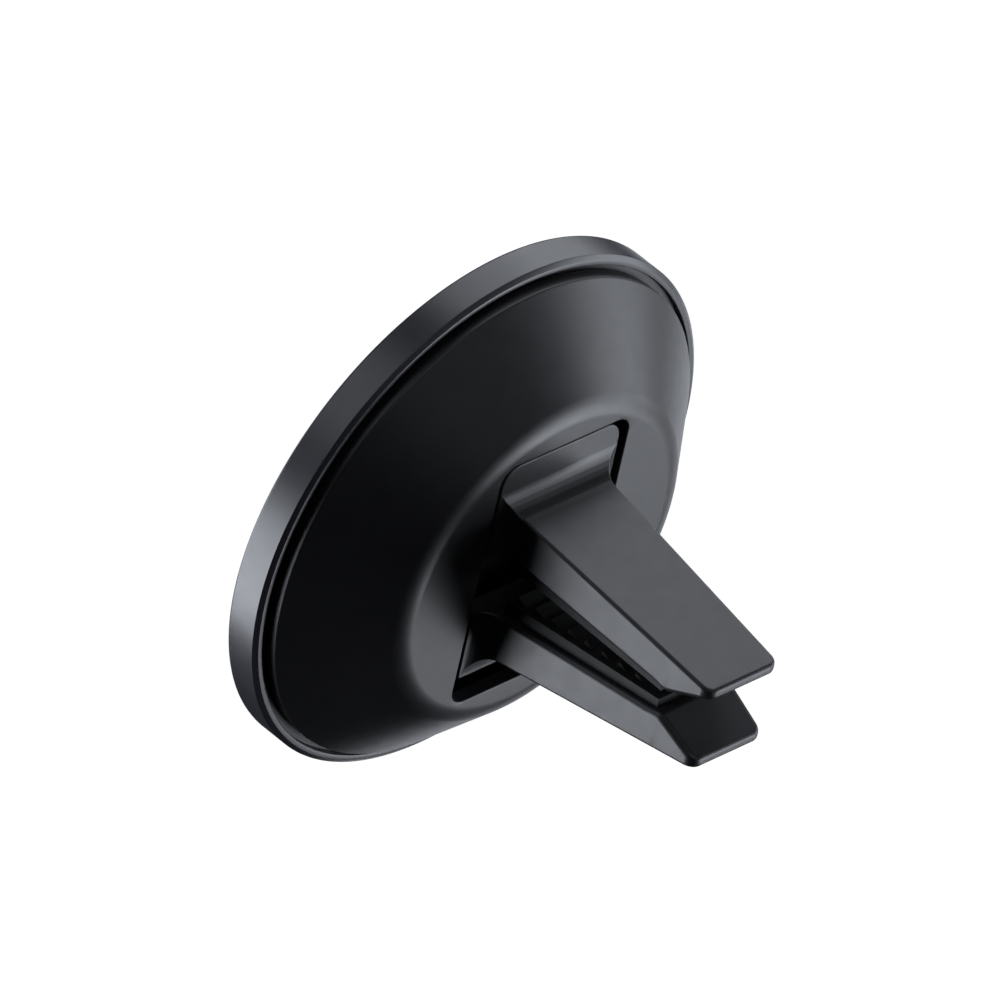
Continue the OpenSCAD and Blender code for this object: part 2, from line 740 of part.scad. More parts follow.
module jaw_spring() {
    color(c_steel) in_place() translate([0, -pin_drop, pin_h]) wire(spring_path(), wire_r);
}

front_pad();
puck_cup();
magnet_ring();
shunt_ring();
puck_back();
spindle_washer();
spindle_screw();
wave_washer();
glide_ring();
carrier_plate();
back_shell();
shell_screws();
clip_frame();
frame_rivets();
upper_jaw();
jaw_screws();
upper_jaw_pad();
lower_jaw();
lower_jaw_pad();
hinge_pin();
pin_clips();
jaw_spring();
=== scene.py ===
"""Magnetic phone mount for a car air vent, modelled around its packed CAD frame.

Lengths named l run out of the shell's flat back face along the clip's jaws, h runs back from the
front edge of the puck's rim, and u runs up from the middle of the clip.
"""

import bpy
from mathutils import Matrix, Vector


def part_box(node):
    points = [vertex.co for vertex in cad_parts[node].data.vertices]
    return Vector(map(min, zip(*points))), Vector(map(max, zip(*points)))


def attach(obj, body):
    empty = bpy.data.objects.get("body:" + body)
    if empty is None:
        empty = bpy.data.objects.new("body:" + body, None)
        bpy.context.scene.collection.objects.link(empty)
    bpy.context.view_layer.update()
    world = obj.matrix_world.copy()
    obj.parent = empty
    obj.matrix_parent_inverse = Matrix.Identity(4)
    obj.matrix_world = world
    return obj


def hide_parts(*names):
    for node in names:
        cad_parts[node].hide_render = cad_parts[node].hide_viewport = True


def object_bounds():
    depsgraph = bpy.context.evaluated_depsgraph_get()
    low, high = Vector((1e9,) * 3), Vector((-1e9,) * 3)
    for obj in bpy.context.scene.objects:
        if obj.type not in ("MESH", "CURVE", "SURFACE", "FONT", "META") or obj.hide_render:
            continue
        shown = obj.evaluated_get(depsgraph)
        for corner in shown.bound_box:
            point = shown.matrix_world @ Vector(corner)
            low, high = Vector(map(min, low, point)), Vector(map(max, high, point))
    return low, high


bl_info = {
    "name": "Vent phone mount",
    "version": (1, 0, 0),
    "blender": (4, 5, 0),
    "location": "View3D > Sidebar > Phone mount",
    "description": "Builds a phone mount's puck, shell, clip jaws and grip pads with their finishes",
    "category": "Object",
}

import math

import bmesh
import bpy
from mathutils import Matrix, Vector

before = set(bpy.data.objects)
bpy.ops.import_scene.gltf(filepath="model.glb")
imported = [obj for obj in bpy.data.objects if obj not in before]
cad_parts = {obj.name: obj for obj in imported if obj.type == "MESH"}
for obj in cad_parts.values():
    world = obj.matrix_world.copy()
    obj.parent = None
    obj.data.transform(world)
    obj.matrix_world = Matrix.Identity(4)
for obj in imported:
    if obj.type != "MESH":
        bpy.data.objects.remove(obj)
CAD_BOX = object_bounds()

MM = 0.001
GRAIN = 1.0 / MM
FACE_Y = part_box("puck_cup")[0].y
CUP_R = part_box("puck_cup")[1].x
PIN_Y = (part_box("hinge_pin")[0].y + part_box("hinge_pin")[1].y) / 2
PIN_Z = (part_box("hinge_pin")[0].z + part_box("hinge_pin")[1].z) / 2

# Steps round a full turn of the puck, a screw boss, a knuckle's bore and the spring's coil
SPIN_STEPS = 256
BOSS_STEPS = 40
BORE_STEPS = 48
COIL_STEPS = 24
# Steps round the half turn of a knuckle, and along an ordinary rounding
KNUCKLE_STEPS = 32
ARC_STEPS = 8
# Points nearer than WELD are one point, and those nearer than NEAR lie in the same plane
WELD = 0.001 * MM
NEAR = 0.01 * MM
# Clearance and overlap between neighbouring shapes, too small to see
SLIVER = 0.02 * MM
OVERLAP = 0.05 * MM


# ---------------------------------------------------------------- properties


def linear(code):
    """Linear colour of an sRGB hex code such as '1c1c1e'."""
    parts = [int(code[i : i + 2], 16) / 255 for i in (0, 2, 4)]
    return tuple(p / 12.92 if p <= 0.04045 else ((p + 0.055) / 1.055) ** 2.4 for p in parts)


def length(name, description, mm):
    """Length property whose default is given in millimetres."""
    return bpy.props.FloatProperty(
        name=name,
        description=description,
        default=mm * MM,
        min=0.0,
        precision=5,
        subtype="DISTANCE",
        unit="LENGTH",
    )


def angle(name, description, degrees):
    """Angle property whose default is given in degrees."""
    return bpy.props.FloatProperty(
        name=name,
        description=description,
        default=math.radians(degrees),
        subtype="ANGLE",
        unit="ROTATION",
    )


def colour(name, description, code):
    """Colour property whose default is given as an sRGB hex code."""
    return bpy.props.FloatVectorProperty(
        name=name,
        description=description,
        default=linear(code),
        min=0.0,
        max=1.0,
        size=3,
        subtype="COLOR",
    )


def share(name, description, value):
    """Property from 0 to 1, such as a roughness."""
    return bpy.props.FloatProperty(
        name=name, description=description, default=value, min=0.0, max=1.0, subtype="FACTOR"
    )


class PuckSizes(bpy.types.PropertyGroup):
    """Sizes of the round puck that holds the phone."""

    radius: length("Radius", "Outside radius of the puck", CUP_R / MM)
    rim_height: length("Rim height", "From the rim's front edge to its back edge", 4.0)
    rim_wall: length("Rim wall", "Wall of the rim", 1.05)
    bevel_width: length("Bevel width", "Width of the bevel on the rim's back edge", 0.5)
    bevel_depth: length("Bevel depth", "Depth of the bevel on the rim's back edge", 0.37)
    edge_round: length("Edge rounding", "Rounding of the rim's front edge", 0.35)
    fine_round: length("Fine rounding", "Rounding of the rim's finer edges", 0.09)
    pad_radius: length("Pad radius", "Radius of the recess that holds the front pad", 27.6)
    pad_gap: length("Pad gap", "Clearance around the front pad", 0.1)
    pad_thickness: length("Pad thickness", "Thickness of the front pad", 0.6)
    pad_proud: length("Pad proud", "How far the front pad stands proud of the rim", 0.2)
    pad_round: length("Pad rounding", "Rounding of the front pad's edge", 0.16)
    floor: length("Floor", "Thickness of the puck's floor behind the front pad", 0.5)
    rib_height: length("Rib height", "Height of the ribs that locate the magnets", 1.8)
    rib_outer: length("Outer rib", "Inner radius of the outer rib", 27.25)
    rib_inner: length("Inner rib", "Outer radius of the inner rib", 22.85)
    rib_wall: length("Rib wall", "Wall of the ribs", 0.5)


class ShellSizes(bpy.types.PropertyGroup):
    """Sizes of the domed back shell."""

    depth: length("Depth", "From the rim's front edge to the shell's flat back face", 13.3)
    base: length("Base", "Height of the shell's front edge behind the rim's front edge", 3.6)
    side_radius: length("Side radius", "Outside radius of the shell", 28.15)
    side_top: length("Side top", "Height at which the side turns into the slope", 5.0)
    side_round: length("Side rounding", "Rounding between the side and the slope", 0.3)
    base_round: length("Base rounding", "Rounding of the shell's front edge", 0.1)
    inner_round: length("Inner rounding", "Rounding inside, where slope and back face meet", 0.4)
    face_radius: length("Face radius", "Radius at which slope and flat back face would meet", 18.55)
    face_round: length("Face rounding", "Rounding between the slope and the flat back face", 3.5)
    wall: length("Wall", "Wall of the side and the slope", 1.4)
    face_wall: length("Face wall", "Wall of the flat back face", 1.6)
    slot_width: length("Slot width", "Width of the slot for the clip", 17.86)
    slot_height: length("Slot height", "Height of the slot for the clip", 29.96)
    slot_corner: length("Slot corner", "Corner radius of the slot", 2.0)
    slot_edge: length("Slot edge", "Rounding of the slot's edge", 0.15)
    boss_radius: length("Boss radius", "Radius of the screw bosses", 2.3)
    boss_hole: length("Boss hole", "Radius of the screw holes in the bosses", 1.0)
    boss_ring: length("Boss ring", "Distance of the bosses from the shell's axis", 20.22)
    boss_start: length("Boss start", "Height at which the bosses start", 4.85)
    boss_bore: length("Boss bore", "Height at which the screw holes end", 8.8)
    boss_seat: length("Boss seat", "How far the bosses' ends stay below the shell's outside", 0.8)


class JawSizes(bpy.types.PropertyGroup):
    """Sizes of the two jaws of the vent clip."""

    length: length("Length", "Length of the jaws behind the back face", 28.3)
    root_width: length("Root width", "Width of a jaw at its root", 12.6)
    tip_width: length("Tip width", "Width of a jaw at its tip", 9.86)
    tip_corner: length("Tip corner", "Corner radius of the tip, seen from above", 1.25)
    tip_edge: length("Tip edge", "Rounding of the tip's upper and lower edge", 0.45)
    root_out: length("Root outer face", "From the clip's middle to the outer face at the root", 9.2)
    tip_out: length("Tip outer face", "From the clip's middle to the outer face at the tip", 4.9)
    root_in: length("Root inner face", "From the clip's middle to the inner face at the root", 3.5)
    root_inner_round: length("Root inner rounding", "Rounding where the inner face starts", 2.0)
    root_stub: length("Root stub", "How deep the jaw's root reaches into its flange", 0.6)
    ramp: length("Ramp", "Length over which the inner face bends at its root and its lips", 1.5)
    ramp_rise: length("Ramp rise", "How far the inner face lies behind the lips at their ramp", 0.3)
    ramp_round: length("Ramp rounding", "Rounding where the ramp to the lips starts", 0.8)
    lip_half: length("Lip", "Half of the opening between the lips", 1.35)
    lip_back: length("Lip distance", "Distance of the lips from the tips", 5.5)
    lip_round: length("Lip rounding", "Rounding of the lips", 1.2)
    mouth_half: length("Mouth", "Half of the mouth between the tips", 3.8)
    root_round: length("Root rounding", "Rounding where the outer face meets the flange", 2.7)
    flare: length("Flare", "Length over which the jaw spreads sideways into its flange", 2.5)
    flange_strip: length("Flange strip", "Bare strip of flange beside the flare", 0.12)
    edge_round: length("Edge rounding", "Rounding of the jaws' long outer edges", 0.45)
    inner_round: length("Inner rounding", "Rounding of the jaws' long inner edges", 0.75)
    flange_half: length("Flange half-width", "Half of the flanges' width", 8.23)
    flange_recess: length("Flange recess", "How far the flanges lie below the back face", 0.33)
    flange_thickness: length("Flange thickness", "Thickness of the flanges", 2.0)
    flange_edge: length("Flange edge", "Rounding of the flanges' edges", 0.2)
    upper_top: length("Upper flange", "From the clip's middle to the upper flange's edge", 14.53)
    upper_corner: length("Upper corner", "Corner radius of the upper flange", 2.3)
    lower_top: length("Lower flange", "From the clip's middle to the lower flange's edge", 11.98)
    lower_corner: length("Lower corner", "Corner radius of the lower flange", 0.4)
    wall: length("Wall", "Wall that joins the throat's cover to the upper flange", 1.6)
    wall_round: length("Wall rounding", "Rounding where that wall meets cover and flange", 0.3)
    throat_round: length("Throat rounding", "Rounding at the upper end of the throat", 0.5)
    cover_base: length("Cover base", "From the rim's front edge to the cover's front side", 7.2)
    cover: length("Cover", "Thickness of the cover behind the throat", 0.8)
    cover_end: length("Cover end", "How far the cover reaches below the clip's middle", 5.5)
    knuckle: length("Knuckle", "Radius of the knuckles around the hinge pin", 2.2)
    bore: length("Bore", "Radius of the knuckles' bore", 1.05)
    cheek: length("Cheek", "Width of each hinge cheek", 3.0)
    cheek_inner: length("Cheek inner side", "From the middle to a cheek's inner side", 4.13)
    stop_half: length("Stop bar", "Half-length of the stop bar", 10.03)
    stop_base: length("Stop base", "Height of the stop bar's front side", 10.7)
    stop_height: length("Stop height", "Thickness of the stop bar", 0.9)
    stop_start: length("Stop start", "From the clip's middle to the stop bar's near side", 9.4)
    stop_end: length("Stop end", "From the clip's middle to the stop bar's far side", 11.58)
    stop_round: length("Stop rounding", "Rounding of the stop bar's far front edge", 0.2)


class PadSizes(bpy.types.PropertyGroup):
    """Sizes of the rubber grip pads."""

    start: length("Start", "Distance of the pads' rear ends from the back face", 1.2)
    length: length("Length", "Length of the pads", 20.6)
    margin: length("Margin", "Bare width of the jaw on each side of a pad", 0.9)
    seat: length("Seat", "How deep a pad is set into its jaw", 0.1)
    rear_half: length("Rear face", "From the clip's middle to a pad's face at its rear end", 2.03)
    front_half: length("Front face", "From the clip's middle to a pad's face at its other end", 0.55)
    front_rise: length("Front rise", "How far the jaw lies behind its lip at a pad's front end", 0.35)
    tooth_count: bpy.props.IntProperty(
        name="Teeth", description="Number of teeth on each pad", default=8, min=1
    )
    tooth_first: length("First tooth", "Bare length of a pad before its first tooth", 0.5)
    tooth_pitch: length("Tooth pitch", "Distance from one tooth to the next", 2.275)
    tooth_height: length("Tooth height", "Height of the teeth", 0.6)
    tooth_length: length("Tooth length", "Length of a tooth along the jaw", 1.36)
    tooth_rake: length("Tooth rake", "How far a tooth's steep face leans", 0.18)
    tooth_margin: length("Tooth margin", "Bare width of the pad on each side of its teeth", 0.8)
    tooth_seat: length("Tooth seat", "How deep a tooth is set into its pad", 0.1)
    edge_round: length("Edge rounding", "Rounding of the pads' and teeth's edges", 0.07)


class SpringSizes(bpy.types.PropertyGroup):
    """Sizes of the torsion spring around the hinge pin."""

    wire: length("Wire", "Radius of the wire", 0.3)
    coil: length("Coil", "Radius of the coil", 1.7)
    pitch: length("Pitch", "Distance from one turn to the next", 0.648)
    turns: bpy.props.FloatProperty(name="Turns", description="Turns of the coil", default=4.5)
    reach: length("Reach", "How far the legs reach below the pin", 2.98)
    foot: length("Foot", "Length of the flat end of a leg", 0.8)
    jaw_side: length("Jaw leg", "How far the jaw's leg stands behind the pin", 2.35)
    frame_side: length("Frame leg", "How far the frame's leg stands in front of the pin", 2.05)
    slim: share("Slim end", "Thickness of the jaw leg's end inside the coil's wire", 0.85)


class Finishes(bpy.types.PropertyGroup):
    """Colours and roughness of the visible finishes."""

    rim: colour("Rim", "Smooth satin plastic of the puck's rim", "2a2a2f")
    shell: colour("Shell", "Satin black plastic of the back shell", "19191b")
    jaw: colour("Jaws", "Satin black plastic of the clip's jaws", "1a1a1c")
    silicone: colour("Silicone", "Soft front pad", "242426")
    rubber: colour("Rubber", "Grip pads", "0c0c0c")
    rim_roughness: share("Rim roughness", "Roughness of the rim", 0.34)
    shell_roughness: share("Shell roughness", "Roughness of the shell", 0.4)
    jaw_roughness: share("Jaw roughness", "Roughness of the jaws", 0.42)


class StageSettings(bpy.types.PropertyGroup):
    """Camera, floor and light."""

    camera_distance: bpy.props.FloatProperty(
        name="Camera distance", default=3.0, description="From the mount", unit="LENGTH"
    )
    camera_turn: angle("Camera turn", "Direction of the camera, from +X towards +Y", 38.2)
    camera_height: angle("Camera height", "Height of the camera above the mount", 36.9)
    camera_roll: angle("Camera roll", "Turn of the camera about its own view", 13.1)
    aim_right: length("Aim right", "How far right of the puck's front the camera aims", 5.05)
    aim_down: length("Aim down", "How far below the puck's front the camera aims", 1.08)
    view_width: length("View width", "Width that the camera takes in at the mount", 99.4)
    floor_drop: length("Floor drop", "Height of the mount above the floor", 900.0)
    floor_radius: length("Floor radius", "Radius of the round floor", 8000.0)
    light_distance: length("Light distance", "Distance of the lights from the mount", 600.0)
    light_tint: colour("Light tint", "Cool white of the lights", "f1f6ff")
    light_scale: bpy.props.FloatProperty(
        name="Light scale", default=1.0, description="Factor on the power of every light"
    )


GROUPS = {
    "mount_puck": PuckSizes,
    "mount_shell": ShellSizes,
    "mount_jaws": JawSizes,
    "mount_pads": PadSizes,
    "mount_spring": SpringSizes,
    "mount_finishes": Finishes,
    "mount_stage": StageSettings,
}


# ---------------------------------------------------------------- shared modelling


def place(h, u, x=0.0):
    """Point in the frame at height h, up u and sideways x."""
    return Vector((x, FACE_Y + h, u))


def wire(bm, points, closed=True):
    """Chain of edges through points; returns its vertices."""
    verts = [bm.verts.new(p) for p in points]
    last = len(verts) if closed else len(verts) - 1
    for i in range(last):
        bm.edges.new((verts[i], verts[(i + 1) % len(verts)]))
    return verts


def round_corner(bm, vert, radius, segments=ARC_STEPS):
    """Rounds one corner of a wire by a radius."""
    a, b = [(e.other_vert(vert).co - vert.co).normalized() for e in vert.link_edges]
    offset = radius / math.tan(a.angle(b) / 2)
    bmesh.ops.bevel(
        bm,
        geom=[vert],
        offset=offset,
        offset_type="OFFSET",
        segments=segments,
        profile=0.5,
        affect="VERTICES",
        clamp_overlap=False,
        material=-1,
    )


def outline(bm, corners, closed=True, segments=ARC_STEPS):
    """Wire through corners of (height, up or radius, rounding); returns its edges."""
    before = set(bm.edges)
    verts = wire(bm, [place(h, u) for h, u, _ in corners], closed)
    for vert, (_, _, radius) in zip(verts, corners):
        if radius:
            round_corner(bm, vert, radius, segments)
    return [e for e in bm.edges if e not in before]


def spin(bm, geom):
    """Turns a profile all the way round the puck's axis and closes its seam and poles."""
    bmesh.ops.spin(
        bm,
        geom=geom,
        cent=(0, 0, 0),
        axis=(0, 1, 0),
        angle=math.tau,
        steps=SPIN_STEPS,
        use_merge=True,
    )
    bmesh.ops.remove_doubles(bm, verts=bm.verts, dist=WELD)


def thicken(bm, faces, width):
    """Makes a closed solid of flat faces by drawing them out sideways."""
    grown = bmesh.ops.extrude_face_region(bm, geom=faces, use_keep_orig=True)["geom"]
    moved = [g for g in grown if isinstance(g, bmesh.types.BMVert)]
    bmesh.ops.translate(bm, verts=moved, vec=(width, 0, 0))


def side_slab(bm, corners, half_width):
    """Solid with a side outline of (height, up, rounding) corners; returns its vertices."""
    before = set(bm.verts)
    edges = outline(bm, corners)
    face = bmesh.ops.contextual_create(bm, geom=edges)["faces"][0]
    bmesh.ops.translate(bm, verts=face.verts, vec=(-half_width, 0, 0))
    thicken(bm, [face], 2 * half_width)
    return [v for v in bm.verts if v not in before]


def skin(bm, loops):
    """Joins each loop of edges to the next."""
    for a, b in zip(loops, loops[1:]):
        bmesh.ops.bridge_loops(bm, edges=a + b)


def at_height(edge, h):
    """True if an edge lies in the plane at height h."""
    return all(abs(v.co.y - FACE_Y - h) < NEAR for v in edge.verts)


def fill_between(bm, edges, normal):
    """Fills the flat ring between an outer and an inner loop."""
    bmesh.ops.triangle_fill(bm, use_beauty=True, use_dissolve=False, edges=edges, normal=normal)


def bevel_edges(bm, edges, width, segments):
    """Rounds edges by a width."""
    bmesh.ops.bevel(
        bm,
        geom=edges,
        offset=width,
        offset_type="OFFSET",
        segments=segments,
        profile=0.5,
        affect="EDGES",
        clamp_overlap=True,
        material=-1,
    )


def union(a, b):
    """Joins two sets of solids into one bmesh."""
    parts = []
    for bm in (a, b):
        bmesh.ops.recalc_face_normals(bm, faces=bm.faces)
        mesh = bpy.data.meshes.new("part")
        bm.to_mesh(mesh)
        bm.free()
        part = bpy.data.objects.new("part", mesh)
        bpy.context.scene.collection.objects.link(part)
        parts.append(part)
    join = parts[0].modifiers.new("join", "BOOLEAN")
    join.operation = "UNION"
    join.solver = "EXACT"
    join.object = parts[1]
    depsgraph = bpy.context.evaluated_depsgraph_get()
    merged = bmesh.new()
    merged.from_object(parts[0], depsgraph)
    if not merged.faces:
        raise RuntimeError("joining two solids left nothing")
    for part in parts:
        mesh = part.data
        bpy.data.objects.remove(part)
        bpy.data.meshes.remove(mesh)
    return merged


def finish_piece(name, bm, body, material, replaced=(), sharp=35.0):
    """Makes a mesh object of bm, faces outwards, and tells the frame what it is."""
    bmesh.ops.recalc_face_normals(bm, faces=bm.faces)
    mesh = bpy.data.meshes.new(name)
    bm.to_mesh(mesh)
    bm.free()
    mesh.shade_smooth()
    mesh.set_sharp_from_angle(angle=math.radians(sharp))
    mesh.materials.append(material)
    piece = bpy.data.objects.new(name, mesh)
    bpy.context.scene.collection.objects.link(piece)
    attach(piece, body)
    if replaced:
        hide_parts(*replaced)
    return piece


def even_shading(piece):
    """Keeps broad faces flat where they run into small roundings."""
    shade = piece.modifiers.new("even_shading", "WEIGHTED_NORMAL")
    shade.mode = "FACE_AREA"
    shade.keep_sharp = True


# ---------------------------------------------------------------- finishes


def node(tree, kind, settings=None, **inputs):
    """Adds a node with its settings; each input is a value or the socket it is linked from."""
    new = tree.nodes.new(kind)
    for key, value in (settings or {}).items():
        setattr(new, key, value)
    for key, value in inputs.items():
        socket = new.inputs[key.replace("_", " ")]
        if isinstance(value, bpy.types.NodeSocket):
            tree.links.new(value, socket)
        else:
            socket.default_value = value
    return new


def new_material(name):
    """Empty material with its shader, its object coordinates and their tree."""
    material = bpy.data.materials.new(name)
    material.use_nodes = True
    tree = material.node_tree
    where = node(tree, "ShaderNodeTexCoord").outputs["Object"]
    return material, tree, tree.nodes["Principled BSDF"], where


def between(tree, value, low, high):
    """Socket whose value runs from low to high as a noise value runs over its usual range."""
    inputs = {"Value": value, "From_Min": 0.3, "From_Max": 0.7, "To_Min": low, "To_Max": high}
    return node(tree, "ShaderNodeMapRange", **inputs).outputs["Result"]


def moulded(name, tint, roughness, grain_mm, grain_depth_mm, ior=1.5, shade=0.12):
    """Moulded plastic or rubber: fine surface grain, faint unevenness in colour and gloss."""
    flow_mm = 9.0
    gloss_mm = 1.6
    gloss_spread = 0.02
    material, tree, shader, where = new_material(name)
    noise = {"noise_dimensions": "3D"}
    grain = node(
        tree, "ShaderNodeTexNoise", noise, Vector=where, Scale=GRAIN / grain_mm, Detail=2.0
    )
    flow = node(tree, "ShaderNodeTexNoise", noise, Vector=where, Scale=GRAIN / flow_mm, Detail=3.0)
    gloss = node(
        tree, "ShaderNodeTexNoise", noise, Vector=where, Scale=GRAIN / gloss_mm, Detail=4.0
    )
    dark = [c * (1 - shade) for c in tint]
    light = [c * (1 + shade) for c in tint]
    mix = node(
        tree,
        "ShaderNodeMix",
        {"data_type": "RGBA"},
        Factor=between(tree, flow.outputs["Fac"], 0.0, 1.0),
    )
    mix.inputs[6].default_value = (*dark, 1)
    mix.inputs[7].default_value = (*light, 1)
    bump = node(
        tree,
        "ShaderNodeBump",
        Height=grain.outputs["Fac"],
        Strength=1.0,
        Distance=grain_depth_mm * MM,
    )
    dull, bright = roughness + gloss_spread, roughness - gloss_spread
    spread = between(tree, gloss.outputs["Fac"], bright, dull)
    tree.links.new(mix.outputs[2], shader.inputs["Base Color"])
    tree.links.new(spread, shader.inputs["Roughness"])
    tree.links.new(bump.outputs["Normal"], shader.inputs["Normal"])
    shader.inputs["IOR"].default_value = ior
    return material


def metal(name, tint, roughness, line_mm, stretch=(1, 1, 1), depth_mm=0.002):
    """Bare metal with fine marks, drawn out along an axis where stretch is small."""
    gloss_spread = 0.05
    material, tree, shader, where = new_material(name)
    drawn = node(tree, "ShaderNodeMapping", Vector=where, Scale=stretch)
    marks = node(
        tree,
        "ShaderNodeTexNoise",
        Vector=drawn.outputs["Vector"],
        Scale=GRAIN / line_mm,
        Detail=3.0,
    )
    bump = node(
        tree, "ShaderNodeBump", Height=marks.outputs["Fac"], Strength=1.0, Distance=depth_mm * MM
    )
    shader.inputs["Base Color"].default_value = (*tint, 1)
    shader.inputs["Metallic"].default_value = 1.0
    dull, bright = roughness + gloss_spread, roughness - gloss_spread
    spread = between(tree, marks.outputs["Fac"], bright, dull)
    tree.links.new(spread, shader.inputs["Roughness"])
    tree.links.new(bump.outputs["Normal"], shader.inputs["Normal"])
    return material


def finishes():
    """All materials by name, made once."""
    if "satin_abs_shell" in bpy.data.materials:
        return bpy.data.materials
    look = bpy.context.scene.mount_finishes
    # Satin ABS from a finely etched mould: broad soft highlights, no visible texture from afar.
    moulded("satin_abs_shell", look.shell, look.shell_roughness, 0.12, 0.0015, ior=1.53)
    # The same ABS in the jaws, from a slightly coarser etched mould.
    moulded("satin_abs_jaw", look.jaw, look.jaw_roughness, 0.14, 0.002, ior=1.53)
    # Smoother satin PC-ABS of the rim: a cool sheen that runs along the band.
    moulded("satin_pc_rim", look.rim, look.rim_roughness, 0.1, 0.0008, ior=1.58, shade=0.06)
    # Plain black ABS of the hidden mouldings.
    moulded("plain_abs_inner", linear("161617"), 0.5, 0.2, 0.003, ior=1.53)
    # Liquid silicone rubber with a soft-touch face: matte, a little dusty.
    moulded("soft_silicone_face", look.silicone, 0.62, 0.16, 0.004, ior=1.41, shade=0.1)
    # Nitrile rubber of the grip pads: dull black with a slightly rough skin.
    moulded("nitrile_rubber", look.rubber, 0.68, 0.12, 0.004, ior=1.45)
    # Natural acetal of the glide ring: waxy white.
    moulded("natural_acetal", linear("e2e0d8"), 0.38, 0.3, 0.001, ior=1.48, shade=0.03)
    # Stamped and zinc-plated steel: bright grey with drawn-out marks.
    metal("zinc_plated_steel", linear("b4b6ba"), 0.32, 0.12, stretch=(0.1, 1, 1))
    # Ground steel of the hinge pin: smooth, marks run round the pin.
    metal("ground_steel", linear("c2c3c6"), 0.2, 0.08, stretch=(1, 0.2, 0.2))
    # Oil-tempered spring wire: nearly black scale with a dull shine.
    metal("oil_tempered_wire", linear("2c2a29"), 0.42, 0.2, stretch=(1, 0.5, 0.5))
    # Bright nickel plating over sintered magnets: smooth and warm grey.
    metal("nickel_plating", linear("cbc7bf"), 0.16, 0.5, depth_mm=0.001)
    return bpy.data.materials


INNER_FINISHES = {
    "magnet_ring": "nickel_plating",
    "shunt_ring": "zinc_plated_steel",
    "puck_back": "plain_abs_inner",
    "spindle_washer": "zinc_plated_steel",
    "spindle_screw": "zinc_plated_steel",
    "wave_washer": "zinc_plated_steel",
    "glide_ring": "natural_acetal",
    "carrier_plate": "plain_abs_inner",
    "shell_screws": "zinc_plated_steel",
    "clip_frame": "zinc_plated_steel",
    "frame_rivets": "zinc_plated_steel",
    "jaw_screws": "zinc_plated_steel",
    "hinge_pin": "ground_steel",
    "pin_clips": "zinc_plated_steel",
}


# ---------------------------------------------------------------- puck


class PHONEMOUNT_OT_puck(bpy.types.Operator):
    """Builds the puck's cup with its rim, and the front pad that the phone rests on."""

    bl_idname = "phonemount.puck"
    bl_label = "Puck"

    def execute(self, context):
        s = context.scene.mount_puck
        looks = finishes()
        recess = s.pad_thickness - s.pad_proud
        floor = recess + s.floor
        rib_top = floor + s.rib_height
        wall = s.radius - s.rim_wall
        outer_rib = s.rib_outer + s.rib_wall
        inner_rib = s.rib_inner - s.rib_wall
        bm = bmesh.new()
        profile = [
            (recess, 0, 0),
            (recess, s.pad_radius, 0),
            (0, s.pad_radius, s.fine_round),
            (0, s.radius, s.edge_round),
            (s.rim_height - s.bevel_depth, s.radius, s.fine_round),
            (s.rim_height, s.radius - s.bevel_width, s.fine_round),
            (s.rim_height, wall, s.fine_round),
            (floor, wall, 0),
            (floor, outer_rib, 0),
            (rib_top, outer_rib, 0),
            (rib_top, s.rib_outer, 0),
            (floor, s.rib_outer, 0),
            (floor, s.rib_inner, 0),
            (rib_top, s.rib_inner, 0),
            (rib_top, inner_rib, 0),
            (floor, inner_rib, 0),
            (floor, 0, 0),
        ]
        spin(bm, outline(bm, profile, closed=False, segments=4))
        cup = finish_piece(
            "puck_rim_cup", bm, "puck", looks["satin_pc_rim"], ["puck_cup"]
        )
        even_shading(cup)

        bm = bmesh.new()
        profile = [
            (-s.pad_proud, 0, 0),
            (-s.pad_proud, s.pad_radius - s.pad_gap, s.pad_round),
            (recess, s.pad_radius - s.pad_gap, 0),
            (recess, 0, 0),
        ]
        spin(bm, outline(bm, profile, closed=False, segments=5))
        pad = finish_piece(
            "silicone_front_pad",
            bm,
            "puck",
            looks["soft_silicone_face"],
            ["front_pad"],
        )
        even_shading(pad)
        return {"FINISHED"}


# ---------------------------------------------------------------- back shell


def slope_point(s, inset, h):
    """Radius of the shell's slope at height h, moved inwards at right angles by inset."""
    run = s.side_radius - s.face_radius
    rise = s.depth - s.side_top
    return s.side_radius - (h - s.side_top) * run / rise - inset * math.hypot(run, rise) / rise


def slot_loop(bm, s, grow, h):
    """Rounded rectangle of the slot, grown sideways, at height h; returns its edges."""
    x = s.slot_width / 2 + grow
    u = s.slot_height / 2 + grow
    before = set(bm.edges)
    points = [place(h, b * u, a * x) for a, b in ((-1, -1), (1, -1), (1, 1), (-1, 1))]
    for vert in wire(bm, points):
        round_corner(bm, vert, s.slot_corner + grow)
    return [e for e in bm.edges if e not in before]


def ring_loop(bm, centre, radius, height):
    """Circle of edges round a boss; height is a function of the distance from the axis."""
    before = set(bm.edges)
    turns = [math.tau * i / BOSS_STEPS for i in range(BOSS_STEPS)]
    spots = [(centre.x + radius * math.cos(a), centre.z + radius * math.sin(a)) for a in turns]
    wire(bm, [place(height(math.hypot(x, u)), u, x) for x, u in spots])
    return [e for e in bm.edges if e not in before]


